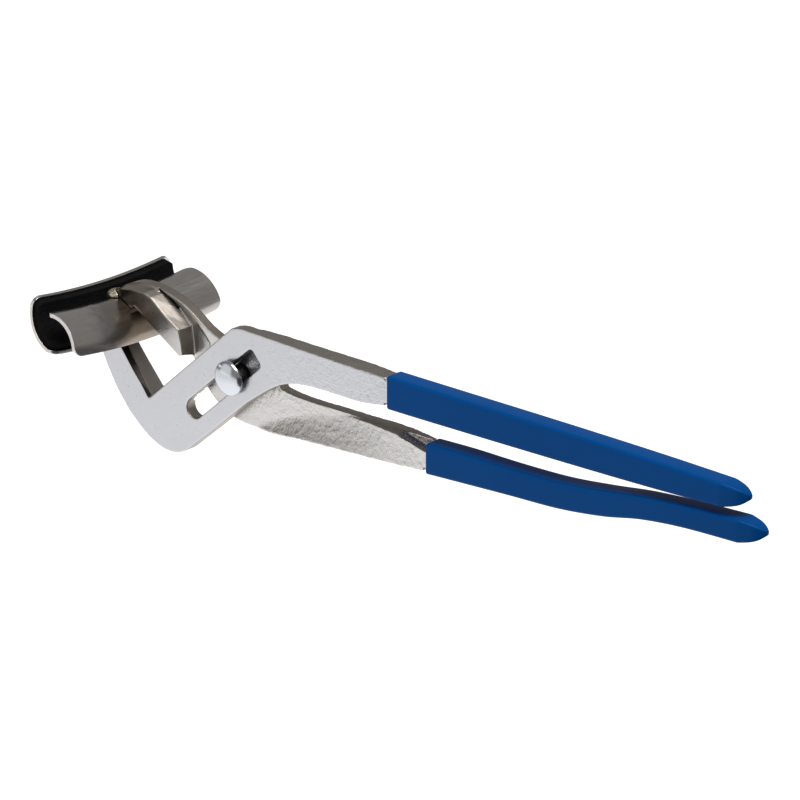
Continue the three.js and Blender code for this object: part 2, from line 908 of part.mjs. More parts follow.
/** The pivot bolt: a low domed head in front, a plain shank and a threaded end. */
function pivotBolt() {
  const seat = FRONT_FACE - HEAD_STANDOFF;
  const rim = 0.6;
  const headR = BOLT_HEAD_D / 2;
  const dome = [0, 15, 30, 45, 60, 75, 90].map((a) => [
    headR * Math.sin(degrees(a)),
    seat - rim - (BOLT_HEAD_H - rim) * Math.cos(degrees(a)),
  ]);
  const threadStart = NUT_Y - SEAT_GAP;
  return turned([
    ...dome,
    [headR, seat - 0.2],
    [headR - 0.2, seat],
    [BOLT_D / 2, seat],
    [BOLT_D / 2, threadStart - 0.6],
    [THREAD_D / 2, threadStart],
    [THREAD_D / 2, BOLT_END_Y - 0.6],
    [THREAD_D / 2 - 0.6, BOLT_END_Y],
    [0, BOLT_END_Y],
  ]);
}

function washer() {
  const hole = BOLT_D / 2 + SEAT_GAP;
  const edge = 0.2;
  return turned([
    [hole, WASHER_Y],
    [WASHER_D / 2 - edge, WASHER_Y],
    [WASHER_D / 2, WASHER_Y + edge],
    [WASHER_D / 2, WASHER_Y + WASHER_H - edge],
    [WASHER_D / 2 - edge, WASHER_Y + WASHER_H],
    [hole, WASHER_Y + WASHER_H],
    [hole, WASHER_Y],
  ]);
}

/** A hexagon nut with its corners turned off on both faces. */
function nut() {
  const corner = NUT_FLATS / Math.sqrt(3);
  const hexagon = polygon(arc([0, 0], corner, 0, 300, 5));
  const turn = 1.0;
  const blank = turned([
    [0, NUT_Y],
    [NUT_FLATS / 2, NUT_Y],
    [corner, NUT_Y + turn],
    [corner, NUT_Y + NUT_H - turn],
    [NUT_FLATS / 2, NUT_Y + NUT_H],
    [0, NUT_Y + NUT_H],
  ]);
  const hole = turned([
    [0, NUT_Y - 1],
    [THREAD_D / 2 + SEAT_GAP, NUT_Y - 1],
    [THREAD_D / 2 + SEAT_GAP, NUT_Y + NUT_H + 1],
    [0, NUT_Y + NUT_H + 1],
  ]);
  return slab(hexagon, NUT_Y, NUT_Y + NUT_H).intersect(blank).subtract(hole);
}

// --------------------------------------------------------------------- assembly

const pliers = new THREE.Group();
pliers.position.y = -BOLT_END_Y;

const tongueBody = new THREE.Group();
tongueBody.add(
  piece("tongue_half_forging", tongueHalf(), nickel()),
  piece("front_shell", frontShell, brushed()),
  piece("lower_grip", dippedGrip(lowerHandle), vinyl()),
  piece("front_shell_nose_weld", noseWeld(), bead()),
);

const slotBody = new THREE.Group();
slotBody.add(
  piece("slot_half_forging", slotHalf(), nickel()),
  piece("rear_shell", rearShell, brushed()),
  piece("rubber_lining", rubberLining, rubber()),
  piece("upper_grip", dippedGrip(upperHandle), vinyl()),
);

// The front shell's bead is on the far side of its jaw; the rear shell has one each side.
const frontBeadY = TONGUE_BACK + WELD_GAP + FRONT_BEAD_RADIUS;
const frontBead = weldBead(FRONT_SHELL, FRONT_BEAD_RADIUS, 48, 98, frontBeadY);
tongueBody.add(piece("front_shell_weld", frontBead, bead()));

/** Half thickness of the arm on one side, where it is root thick at rootX. */
const armHalf = (x, root, rootX) =>
  THREE.MathUtils.mapLinear(x, ARM_TIP_X, rootX, ARM_TIP_HALF, root);

const [beadStart, beadStop] = REAR_BEAD_ARC;
const [thickestX] = offShell(REAR_SHELL, 0, beadStop);
for (const [side, sign, half] of [
  ["near", -1, armHalf(thickestX, PLATE_THICK, ARM_BEND_X)],
  ["far", 1, armHalf(thickestX, ARM_BACK, ARM_STEP_X)],
]) {
  const y = sign * (half + WELD_GAP + REAR_BEAD_RADIUS);
  const rearBead = weldBead(REAR_SHELL, REAR_BEAD_RADIUS, beadStart, beadStop, y);
  slotBody.add(piece("rear_shell_weld_" + side, rearBead, bead()));
}

const pivotBody = new THREE.Group();
pivotBody.add(
  piece("pivot_bolt", pivotBolt(), bright()),
  piece("pivot_washer", washer(), nickel()),
  piece("pivot_nut", nut(), nickel()),
);

pliers.add(tongueBody, slotBody, pivotBody);
const model = new THREE.Group();
model.add(pliers);

export default model;
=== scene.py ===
# %% [markdown]
# # Tyre seating pliers
#
# These long slip-joint pliers carry a curved steel shell on each jaw. The shells
# close round a bicycle tyre and pull its bead over the rim. The CAD frame gives
# every solid piece its place; this script gives the pieces their finished surfaces.
# The forgings are remeshed so that their edges round over, while the shells, the
# rubber, the grips and the bolt are drawn again with finer curves than CAD needs.
#
# Everything is in metres, and X runs along the handles, Z is up in the plane in
# which they open, and the pivot lies along Y.

# %% Load the frame
import json
import math

import bmesh
import bpy
import numpy as np
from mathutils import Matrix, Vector, noise


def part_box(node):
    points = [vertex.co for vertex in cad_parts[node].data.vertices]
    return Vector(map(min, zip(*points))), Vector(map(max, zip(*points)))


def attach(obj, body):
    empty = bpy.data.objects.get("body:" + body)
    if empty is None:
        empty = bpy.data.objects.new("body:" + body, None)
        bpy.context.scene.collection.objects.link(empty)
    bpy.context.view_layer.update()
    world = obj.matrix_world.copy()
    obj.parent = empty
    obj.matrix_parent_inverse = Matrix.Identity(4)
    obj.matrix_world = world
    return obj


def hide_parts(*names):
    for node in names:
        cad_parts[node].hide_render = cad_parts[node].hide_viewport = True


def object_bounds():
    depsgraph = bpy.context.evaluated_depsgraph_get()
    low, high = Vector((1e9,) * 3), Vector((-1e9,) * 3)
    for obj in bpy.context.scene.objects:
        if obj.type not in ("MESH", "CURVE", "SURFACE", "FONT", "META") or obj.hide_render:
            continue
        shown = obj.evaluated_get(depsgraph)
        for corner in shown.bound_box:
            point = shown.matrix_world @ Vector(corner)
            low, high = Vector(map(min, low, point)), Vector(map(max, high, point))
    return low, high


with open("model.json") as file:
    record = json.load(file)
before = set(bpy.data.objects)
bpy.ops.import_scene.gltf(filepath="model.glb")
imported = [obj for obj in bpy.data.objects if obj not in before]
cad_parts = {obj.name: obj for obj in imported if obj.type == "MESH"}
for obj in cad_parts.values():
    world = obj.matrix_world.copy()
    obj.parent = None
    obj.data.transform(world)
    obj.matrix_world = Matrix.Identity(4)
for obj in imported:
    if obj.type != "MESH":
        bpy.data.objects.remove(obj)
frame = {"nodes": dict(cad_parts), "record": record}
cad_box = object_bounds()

MM = 0.001
scene = bpy.context.scene
print("nodes:", len(frame["nodes"]))

# %% [markdown]
# ## Camera
#
# A long lens some way off keeps the far handle nearly as large as the near jaw, as
# catalogue views of tools do. The camera is placed by a point in the row frame and
# turned to look along a direction, with world Z kept upright.

# %% Camera
camera_data = bpy.data.cameras.new("camera")
camera_data.lens = 121.5
camera_data.sensor_width = 36
camera_data.clip_start = 0.05
camera = bpy.data.objects.new("camera", camera_data)
camera.location = (0.7887, -0.8145, 0.4114)
looking = Vector((-0.6137, 0.7060, -0.3535))
camera.rotation_euler = looking.to_track_quat("-Z", "Y").to_euler()
scene.collection.objects.link(camera)
scene.camera = camera
scene.view_settings.view_transform = "Standard"
print("camera looks along", tuple(round(v, 3) for v in looking))

# %% [markdown]
# ## Floor and light
#
# Plated metal shows its surroundings more than its own colour. A pale floor far
# below fills the faces that lean down and forward with white, and a darker room
# above it is what the upward faces reflect, so each edge of the tool separates two
# tones. Two wide lamps add soft highlights without hard shadows, and a dark card on
# the right gives rounded bright pieces such as the bolt's head a dark side.

# %% Stage helpers


def new_material(name, **sockets):
    """A Principled material whose constant values are set on the shader itself."""
    material = bpy.data.materials.new(name)
    material.use_nodes = True
    shader = material.node_tree.nodes["Principled BSDF"]
    for label, value in sockets.items():
        shader.inputs[label.replace("_", " ")].default_value = value
    return material, material.node_tree, shader


def staged_sheet(name, corners, material):
    """A flat sheet that lights the tool and is no piece of it."""
    mesh = bpy.data.meshes.new(name)
    mesh.from_pydata(corners, [], [(0, 1, 2, 3)])
    mesh.materials.append(material)
    sheet = bpy.data.objects.new(name, mesh)
    scene.collection.objects.link(sheet)
    return sheet


# %% Floor and world
FLOOR_DROP = 0.55
FLOOR_REACH = 14
white_paper, _, _ = new_material(
    "white paper",
    Base_Color=(0.8, 0.8, 0.8, 1),
    Roughness=0.9,
    Specular_IOR_Level=0.0,
    Emission_Color=(1, 1, 1, 1),
    Emission_Strength=0.80,
)
floor = staged_sheet(
    "floor",
    [
        (-FLOOR_REACH, -FLOOR_REACH, 0),
        (FLOOR_REACH, -FLOOR_REACH, 0),
        (FLOOR_REACH, FLOOR_REACH, 0),
        (-FLOOR_REACH, FLOOR_REACH, 0),
    ],
    white_paper,
)
floor.location.z = cad_box[0][2] - FLOOR_DROP

world = bpy.data.worlds.new("room")
world.use_nodes = True
world.node_tree.nodes["Background"].inputs["Color"].default_value = (0.30, 0.29, 0.28, 1)
world.node_tree.nodes["Background"].inputs["Strength"].default_value = 1.0
scene.world = world
print("floor at", round(floor.location.z, 3), "m")

# %% Lamps


def soft_lamp(name, spot, target, size, power):
    """A square area lamp at a spot, turned towards a target."""
    data = bpy.data.lights.new(name, "AREA")
    data.size = size
    data.energy = power
    lamp = bpy.data.objects.new(name, data)
    lamp.location = spot
    aim = Vector(target) - Vector(spot)
    lamp.rotation_euler = aim.to_track_quat("-Z", "Y").to_euler()
    scene.collection.objects.link(lamp)
    return lamp


middle = [(low + high) / 2 for low, high in zip(*cad_box)]
soft_lamp("front lamp", (-0.9, -1.3, 0.55), middle, size=1.5, power=5)
soft_lamp("top lamp", (0.5, -0.2, 1.7), middle, size=1.2, power=36)

# %% Dark card
CARD_X = 0.6
CARD_FRONT, CARD_BACK = -1.3, 0.4
CARD_FOOT, CARD_HEAD = -0.6, 0.1
black_paper, _, _ = new_material("black paper", Base_Color=(0.02, 0.02, 0.02, 1))
card = staged_sheet(
    "dark card",
    [
        (0, CARD_FRONT, CARD_FOOT),
        (0, CARD_BACK, CARD_FOOT),
        (0, CARD_BACK, CARD_HEAD),
        (0, CARD_FRONT, CARD_HEAD),
    ],
    black_paper,
)
card.location.x = CARD_X
card.visible_camera = False
print("lamps:", len(bpy.data.lights), "and one dark card")

# %% [markdown]
# ## Shared shader groups
#
# Real plate and steel are never one flat tone. Four small node groups are made once
# and placed in each material with its own numbers: a mottle that varies a colour, a
# pitted skin, drawn streaks, and the pale wear along edges.

# %% Node helpers


def new_group(name, inputs, outputs):
    """An empty shader group with float inputs {name: default} and named outputs."""
    group = bpy.data.node_groups.new(name, "ShaderNodeTree")
    for label, default in inputs.items():
        kind = "NodeSocketColor" if isinstance(default, tuple) else "NodeSocketFloat"
        socket = group.interface.new_socket(label, in_out="INPUT", socket_type=kind)
        socket.default_value = default
    for label, kind in outputs.items():
        group.interface.new_socket(label, in_out="OUTPUT", socket_type=kind)
    return group, group.nodes.new("NodeGroupInput"), group.nodes.new("NodeGroupOutput")


def add(tree, kind, settings=None, inputs=None):
    """A node with its settings, and inputs that are values or sockets to link."""
    node = tree.nodes.new(kind)
    for label, value in (settings or {}).items():
        setattr(node, label, value)
    for label, value in (inputs or {}).items():
        if isinstance(value, bpy.types.NodeSocket):
            tree.links.new(value, node.inputs[label])
        else:
            node.inputs[label].default_value = value
    return node


def math_node(tree, operation, a, b=0.0, clamp=False):
    """The output of a math node on two values or sockets."""
    node = add(tree, "ShaderNodeMath", {"operation": operation, "use_clamp": clamp})
    for index, value in enumerate((a, b)):
        if isinstance(value, bpy.types.NodeSocket):
            tree.links.new(value, node.inputs[index])
        else:
            node.inputs[index].default_value = value
    return node.outputs[0]


def place(tree):
    """Object coordinates, which are the row frame's own because pieces stay put."""
    return add(tree, "ShaderNodeTexCoord").outputs["Object"]


def stretched(tree, scale):
    """Object coordinates scaled along each axis."""
    node = add(tree, "ShaderNodeMapping", inputs={"Vector": place(tree)})
    node.inputs["Scale"].default_value = scale
    return node.outputs["Vector"]


# %% Mottle, pits, streaks and edge wear
mottle, given, out = new_group(
    "mottle", {"Size": 60.0, "Contrast": 0.3}, {"Value": "NodeSocketFloat"}
)
cloud = add(
    mottle,
    "ShaderNodeTexNoise",
    inputs={"Vector": place(mottle), "Scale": given.outputs["Size"], "Detail": 5.0},
)
centred = math_node(mottle, "SUBTRACT", cloud.outputs["Fac"], 0.5)
swing = math_node(mottle, "MULTIPLY", centred, given.outputs["Contrast"])
mottle.links.new(math_node(mottle, "ADD", swing, 0.5), out.inputs["Value"])

pitted, given, out = new_group(
    "pitted skin",
    {"Fine Scale": 900.0, "Coarse Scale": 330.0, "Coarse Share": 0.5},
    {"Height": "NodeSocketFloat"},
)
fine = add(
    pitted,
    "ShaderNodeTexNoise",
    inputs={"Vector": place(pitted), "Scale": given.outputs["Fine Scale"], "Detail": 3.0},
)
coarse = add(
    pitted,
    "ShaderNodeTexVoronoi",
    {"feature": "SMOOTH_F1"},
    {"Vector": place(pitted), "Scale": given.outputs["Coarse Scale"], "Smoothness": 0.7},
)
bowl = math_node(
    pitted, "MULTIPLY", coarse.outputs["Distance"], given.outputs["Coarse Share"]
)
pitted.links.new(
    math_node(pitted, "ADD", fine.outputs["Fac"], bowl), out.inputs["Height"]
)

streaks, given, out = new_group(
    "drawn streaks", {"Fine": 1.0}, {"Value": "NodeSocketFloat"}
)
line = add(
    streaks,
    "ShaderNodeTexNoise",
    inputs={
        "Vector": stretched(streaks, (1500, 18, 1500)),
        "Scale": given.outputs["Fine"],
        "Detail": 4.0,
    },
)
streaks.links.new(line.outputs["Fac"], out.inputs["Value"])

edge_wear, given, out = new_group(
    "edge wear", {"Start": 0.52, "End": 0.60}, {"Mask": "NodeSocketFloat"}
)
shape = add(edge_wear, "ShaderNodeNewGeometry")
ramp = add(
    edge_wear,
    "ShaderNodeMapRange",
    inputs={
        "Value": shape.outputs["Pointiness"],
        "From Min": given.outputs["Start"],
        "From Max": given.outputs["End"],
    },
)
edge_wear.links.new(ramp.outputs["Result"], out.inputs["Mask"])
print("shader groups:", ", ".join(g.name for g in bpy.data.node_groups))

# %% Material helpers


def use_group(tree, group, **values):
    """A placed group with its own values."""
    node = tree.nodes.new("ShaderNodeGroup")
    node.node_tree = group
    for label, value in values.items():
        node.inputs[label.replace("_", " ")].default_value = value
    return node


def blend_colours(tree, factor, dark, light):
    """A colour between two, by a factor socket. Either may be a colour or a socket."""
    node = add(tree, "ShaderNodeMix", {"data_type": "RGBA"})
    tree.links.new(factor, node.inputs["Factor"])
    for index, colour in ((6, dark), (7, light)):
        if isinstance(colour, bpy.types.NodeSocket):
            tree.links.new(colour, node.inputs[index])
        else:
            node.inputs[index].default_value = (*colour, 1)
    return node.outputs[2]


def between(tree, value, low, high, to_low=0.0, to_high=1.0):
    """A value mapped from one span to another, held inside it."""
    return add(
        tree,
        "ShaderNodeMapRange",
        inputs={
            "Value": value,
            "From Min": low,
            "From Max": high,
            "To Min": to_low,
            "To Max": to_high,
        },
    ).outputs["Result"]


def along_x(tree, start, end):
    """0 before one place along the tool and 1 after another."""
    split = add(tree, "ShaderNodeSeparateXYZ", inputs={"Vector": place(tree)})
    return between(tree, split.outputs["X"], start, end)


def facing_bolt_head(tree, low, high):
    """1 on faces that look along the pivot, 0 on faces that look across it."""
    towards = add(tree, "ShaderNodeTexCoord").outputs["Normal"]
    split = add(tree, "ShaderNodeSeparateXYZ", inputs={"Vector": towards})
    return between(tree, math_node(tree, "ABSOLUTE", split.outputs["Y"]), low, high)


def bump(tree, height, strength, distance):
    """A bump from a height; its strength may be a socket."""
    return add(
        tree,
        "ShaderNodeBump",
        inputs={"Height": height, "Strength": strength, "Distance": distance},
    ).outputs["Normal"]


# %% [markdown]
# ## Nickel plate
#
# The forgings are ground bright on their flat faces. Their edges and the long undersides
# get a darker brown-grey, which is painted shade: the dull reflection that faces turned
# across the pivot show. One material does both with a mask on the direction each face
# looks. Pits grow deeper along the tool by a mask on X, and roughness drifts a little so
# that no face is a mirror. The jaw that was welded to its shell is painted dark brown
# near the weld, partly heat tint and partly painted shade over the jaw's faces.

# %% Nickel plate material


def draft_of_the_arm(tree):
    """1 on the bevel down the arm's inner wall, which faces forward and to the right; painted
    shade goes there.
    """
    towards = add(tree, "ShaderNodeTexCoord").outputs["Normal"]
    split = add(tree, "ShaderNodeSeparateXYZ", inputs={"Vector": towards})
    forward = between(tree, math_node(tree, "MULTIPLY", split.outputs["Y"], -1.0), 0.18, 0.36)
    right = between(tree, split.outputs["X"], 0.15, 0.35)
    on_arm = math_node(tree, "SUBTRACT", 1.0, along_x(tree, -0.0525, -0.0500))
    facing = math_node(tree, "MULTIPLY", forward, right)
    return math_node(tree, "MULTIPLY", facing, on_arm)


# Near black for the arm's draft bevel: painted shade standing for the dark reflection that bevel
# shows.
DARK_DRAFT_SHADE = (0.035, 0.03, 0.028)
# Dark brown for the jaw's flat faces: partly heat tint from the weld and partly painted shade.
SCORCH_AND_SHADE_BROWN = (0.13, 0.11, 0.095)


def nickel_plate(
    name, pits_from, pits_to, tint, side_shade_tint, scorched_and_shaded=False, shaded_draft=False
):
    """Satin nickel on flat faces, and rougher steel with painted shade on the edges, more pitted
    along X.
    """
    material, tree, shader = new_material(name, Metallic=1.0, Roughness=0.3)
    flat = facing_bolt_head(tree, 0.55, 0.94)
    tone = use_group(tree, mottle, Size=45.0, Contrast=0.5)
    ground = blend_colours(tree, tone.outputs["Value"], tuple(0.86 * c for c in tint), tint)
    pits = use_group(tree, pitted)
    speck = between(tree, pits.outputs["Height"], 0.52, 0.40)
    specked = blend_colours(tree, speck, ground, tuple(0.7 * c for c in tint))
    # Faces that look across the pivot get a darker brown-grey: painted shade for the dull
    # reflection they show.
    shaded_sides = blend_colours(
        tree, tone.outputs["Value"], tuple(0.8 * c for c in side_shade_tint), side_shade_tint
    )
    # The arm's draft bevel is painted near black as painted shade.
    if shaded_draft:
        scale = draft_of_the_arm(tree)
        shaded_sides = blend_colours(tree, scale, shaded_sides, DARK_DRAFT_SHADE)
        specked = blend_colours(tree, scale, specked, DARK_DRAFT_SHADE)
    # The jaw's flat faces turn dark brown towards its end: partly heat tint, partly painted
    # shade.
    if scorched_and_shaded:
        unmarked = math_node(tree, "MULTIPLY", flat, along_x(tree, -0.061, -0.030))
        specked = blend_colours(tree, unmarked, SCORCH_AND_SHADE_BROWN, specked)
    tree.links.new(blend_colours(tree, flat, shaded_sides, specked), shader.inputs["Base Color"])
    cloudy = use_group(tree, mottle, Size=260.0, Contrast=0.8)
    drift = between(tree, cloudy.outputs["Value"], 0.2, 0.8, -0.05, 0.07)
    rough = math_node(tree, "ADD", between(tree, flat, 0, 1, 0.42, 0.29), drift)
    tree.links.new(rough, shader.inputs["Roughness"])
    depth = between(tree, along_x(tree, pits_from, pits_to), 0, 1, 0.16, 0.85)
    normal = bump(tree, pits.outputs["Height"], depth, 0.0004)
    tree.links.new(normal, shader.inputs["Normal"])
    return material


slot_half_plate = nickel_plate(
    "nickel plate, slot half",
    pits_from=0.012,
    pits_to=0.045,
    tint=(0.49, 0.495, 0.52),
    side_shade_tint=(0.34, 0.315, 0.29),
    shaded_draft=True,
)
tongue_half_plate = nickel_plate(
    "nickel plate, tongue half",
    pits_from=-0.005,
    pits_to=0.025,
    tint=(0.54, 0.53, 0.52),
    side_shade_tint=(0.30, 0.27, 0.24),
    scorched_and_shaded=True,
)
print("plates:", slot_half_plate.name, "and", tongue_half_plate.name)

# %% [markdown]
# ## Rounded forgings
#
# The CAD forgings have knife edges and flat facets. A voxel remesh turns each one
# into an even skin of small quads, and a little smoothing then takes the sharpness
# off every edge, as forging, grinding and plating leave it.

# %% Remesh helpers


def weld_vertices(mesh):
    """Joins the vertices that the import split along its edges."""
    work = bmesh.new()
    work.from_mesh(mesh)
    bmesh.ops.remove_doubles(work, verts=work.verts, dist=1e-7)
    work.to_mesh(mesh)
    work.free()


def settle(obj):
    """Applies an object's modifiers to its mesh."""
    graph = bpy.context.evaluated_depsgraph_get()
    made = bpy.data.meshes.new_from_object(obj.evaluated_get(graph))
    obj.modifiers.clear()
    obj.data = made
    return obj


def smooth_shading(obj):
    """Shades an object's faces as one smooth surface."""
    obj.data.shade_smooth()
    return obj


def finished(obj, node, material):
    """Gives a piece its material, hangs it on its body and hides the CAD node that it stands
    for.
    """
    record = frame["record"]
    obj.data.materials.clear()
    obj.data.materials.append(material)
    body = next(b for b, nodes in record["behaviour"]["bodies"].items() if node in nodes)
    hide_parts(node)
    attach(obj, body)
    print(f"{obj.name}: {len(obj.data.polygons)} faces on {body}")
    return obj


def rounded_copy(node, name, voxel, rounds):
    """A copy of a CAD node with an even skin and soft edges."""
    mesh = frame["nodes"][node].data.copy()
    weld_vertices(mesh)
    obj = bpy.data.objects.new(name, mesh)
    scene.collection.objects.link(obj)
    even = obj.modifiers.new("even skin", "REMESH")
    even.mode = "VOXEL"
    even.voxel_size = voxel
    soften = obj.modifiers.new("soft edges", "SMOOTH")
    soften.factor = 0.5
    soften.iterations = rounds
    return smooth_shading(settle(obj))


def vertex_array(mesh, what="co"):
    """A mesh's vertex places, or its normals, as rows of X, Y and Z."""
    values = np.empty(len(mesh.vertices) * 3)
    mesh.vertices.foreach_get(what, values)
    return values.reshape(-1, 3)


def push_in(obj, depth):
    """Moves each vertex inwards along its normal by depth(point)."""
    points = vertex_array(obj.data)
    normals = vertex_array(obj.data, "normal")
    moves = np.array([depth(Vector(point)) for point in points])
    obj.data.vertices.foreach_set("co", (points - normals * moves[:, None]).ravel())
    obj.data.update()


# %% [markdown]
# ### Hammered skin on the handles
#
# The bare handles show soft dents two or three millimetres across, deeper on the
# lower one. They are deep enough to bend the highlights, so they are moved into the
# mesh; the finer pits stay in the material's bump.

# %% Forgings
FORGING_VOXEL, FORGING_SMOOTHING = 0.34 * MM, 4


def ramp_between(value, low, high):
    """0 below low, 1 above high and smooth between."""
    share = min(max((value - low) / (high - low), 0), 1)
    return share * share * (3 - 2 * share)


def dents(point, size):
    """How deep a dent is at a point, from 0 to 1."""
    near = noise.voronoi(point / size)[0][0]
    return 1 - min(near * 1.2, 1)


def handle_dents(begins, ends, broad, small, shift):
    """A skin of broad and small dents, each a (size, depth) in millimetres.

    It deepens over the span of X in begins and fades out over the one in ends.
    """

    def depth(point):
        share = ramp_between(point.x, *begins) * (1 - ramp_between(point.x, *ends))
        if share <= 0:
            return 0
        broad_share = dents(point, broad[0] * MM)
        small_share = dents(point + Vector(shift), small[0] * MM)
        return share * (broad[1] * broad_share + small[1] * small_share) * MM

    return depth


lower_handle_dents = handle_dents(
    begins=(0.004, 0.022),
    ends=(0.108, 0.112),
    broad=(3.1, 0.20),
    small=(1.7, 0.11),
    shift=(0.5, 0.2, 0.1),
)
upper_handle_dents = handle_dents(
    begins=(0.012, 0.05),
    ends=(0.086, 0.09),
    broad=(2.6, 0.07),
    small=(1.4, 0.06),
    shift=(0.3, 0.1, 0.4),
)
tongue_half = rounded_copy(
    "tongue_half_forging", "tongue_half_steel", FORGING_VOXEL, FORGING_SMOOTHING
)
push_in(tongue_half, lower_handle_dents)
finished(tongue_half, "tongue_half_forging", tongue_half_plate)

slot_half = rounded_copy(
    "slot_half_forging", "slot_half_steel", FORGING_VOXEL, FORGING_SMOOTHING
)
push_in(slot_half, upper_handle_dents)
finished(slot_half, "slot_half_forging", slot_half_plate)

# %% [markdown]
# ## Shells
#
# Each shell is a rolled plate that follows the tyre both ways: round its section and
# gently along its length. It is lofted from section arcs with its four corners
# drawn in, and a small bevel breaks its sheared edges.

# %% Shell sizes
FRONT_SHELL = {"x": -72.5, "z": 4.1, "from": 0, "to": 106}
REAR_SHELL = {"x": -70.2, "z": 19.1, "from": 160.5, "to": 263}
FRONT_RADIUS, FRONT_THICK = 16.3, 1.8
REAR_RADIUS, REAR_THICK = 18.2, 1.6
LINING_THICK, LINING_MARGIN, SEAT_GAP = 3.0, 1.1, 0.15
WHEEL_RADIUS = 350
SHELL_CORNER = 4.5
SHELL_BEVEL, LINING_BEVEL = 0.35, 0.3
FRONT_LENGTH, REAR_LENGTH = 92.9, 86.4


def middle_along_y(node):
    """The Y of a node's middle, in millimetres, read from CAD."""
    low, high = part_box(node)
    return (low[1] + high[1]) / 2 / MM


shell_middle = middle_along_y("front_shell")
print("shells are centred on Y =", round(shell_middle, 2), "mm")

# %% Loft helpers


def mesh_piece(name, vertices, faces):
    """An object from vertices in millimetres."""
    mesh = bpy.data.meshes.new(name)
    mesh.from_pydata([Vector(v) * MM for v in vertices], [], faces)
    mesh.validate()
    obj = bpy.data.objects.new(name, mesh)
    scene.collection.objects.link(obj)
    return obj


def outward(obj):
    """Turns all faces to look outwards."""
    work = bmesh.new()
    work.from_mesh(obj.data)
    bmesh.ops.recalc_face_normals(work, faces=work.faces)
    work.to_mesh(obj.data)
    work.free()
    return obj


def loft(name, rings):
    """A closed skin over rings of points, with a cap on each end."""
    count = len(rings[0])
    vertices = [p for ring in rings for p in ring]
    faces = []
    for r in range(len(rings) - 1):
        for i in range(count):
            a, b = r * count + i, r * count + (i + 1) % count
            faces.append((a, b, b + count, a + count))
    last = (len(rings) - 1) * count
    faces.append(tuple(reversed(range(count))))
    faces.append(tuple(range(last, last + count)))
    return outward(mesh_piece(name, vertices, faces))


def bevelled(obj, width, segments=3, angle=40):
    """Breaks an object's sharp edges with a narrow round."""
    edge = obj.modifiers.new("broken edges", "BEVEL")
    edge.width = width * MM
    edge.segments = segments
    edge.limit_method = "ANGLE"
    edge.angle_limit = math.radians(angle)
    return smooth_shading(settle(obj))


# %% Curved plates


def on_tyre(section, x, z, along, middle):
    """A place on a section, carried along the wheel's curve."""
    turn = along / (WHEEL_RADIUS - section["z"])
    drop = WHEEL_RADIUS - z
    return (x, middle + drop * math.sin(turn), WHEEL_RADIUS - drop * math.cos(turn))


def length_stations(half, corner, corner_steps=8, steps=40):
    """Stations along a plate, closer together where its corners round over."""
    turns = [i / corner_steps * math.pi / 2 for i in range(corner_steps)]
    quarter = [corner * (1 - math.cos(turn)) for turn in turns]
    straight = np.linspace(-half + corner, half - corner, steps)
    return [-half + q for q in quarter] + list(straight) + [half - q for q in reversed(quarter)]


def tyre_plate(name, section, outer, inner, length, trim, corner, middle, steps=44):
    """A curved plate between two radii, cut back by trim, with its corners rounded."""
    half = length / 2
    rings = []
    for along in length_stations(half, corner):
        inside = min(corner, half - abs(along))
        pull = corner - math.sqrt(max(corner**2 - (corner - inside) ** 2, 0))
        cut = math.degrees((pull + trim) / outer)
        angles = np.radians(np.linspace(section["from"] + cut, section["to"] - cut, steps))
        arc = [(outer, a) for a in angles] + [(inner, a) for a in reversed(angles)]
        ring = []
        for r, a in arc:
            x, z = section["x"] + r * math.cos(a), section["z"] + r * math.sin(a)
            ring.append(on_tyre(section, x, z, along, middle))
        rings.append(ring)
    return loft(name, rings)


# %% [markdown]
# ### Shell steel and its heat tint
#
# The shells are bare steel polished lengthwise. Welding the jaw on has coloured the
# steel near it: brown and straw by the bead, fading through a faint purple-grey. The
# tint is a colour ramp read by the distance from the weld, broken up by noise.

# %% Shell material
heat_tint, given, out = new_group(
    "heat tint",
    {"X": -0.066, "Y": -0.014, "Z": 0.02, "Reach": 0.03},
    {"Colour": "NodeSocketColor", "Mask": "NodeSocketFloat"},
)
weld_place = add(
    heat_tint,
    "ShaderNodeCombineXYZ",
    inputs={k: given.outputs[k] for k in "XYZ"},
)
away = add(heat_tint, "ShaderNodeVectorMath", {"operation": "DISTANCE"})
heat_tint.links.new(place(heat_tint), away.inputs[0])
heat_tint.links.new(weld_place.outputs[0], away.inputs[1])
ragged = add(
    heat_tint,
    "ShaderNodeTexNoise",
    inputs={"Vector": place(heat_tint), "Scale": 140.0, "Detail": 4.0},
)
wobble = math_node(heat_tint, "MULTIPLY", ragged.outputs["Fac"], 0.02)
distance = math_node(heat_tint, "ADD", away.outputs["Value"], wobble)
share = math_node(heat_tint, "DIVIDE", distance, given.outputs["Reach"])
tints = add(heat_tint, "ShaderNodeValToRGB", inputs={"Fac": share})
stops = [
    (0.15, (0.22, 0.17, 0.12)),
    (0.42, (0.30, 0.235, 0.16)),
    (0.58, (0.24, 0.20, 0.165)),
    (0.72, (0.23, 0.21, 0.215)),
    (0.88, (0.36, 0.35, 0.36)),
    (1.0, (0.36, 0.345, 0.33)),
]
tints.color_ramp.elements[0].position = stops[0][0]
tints.color_ramp.elements[0].color = (*stops[0][1], 1)
tints.color_ramp.elements[1].position = stops[-1][0]
tints.color_ramp.elements[1].color = (*stops[-1][1], 1)
for position, colour in stops[1:-1]:
    tints.color_ramp.elements.new(position).color = (*colour, 1)
heat_tint.links.new(tints.outputs["Color"], out.inputs["Colour"])
fade = between(heat_tint, share, 0.75, 1.0, 1.0, 0.0)
heat_tint.links.new(fade, out.inputs["Mask"])


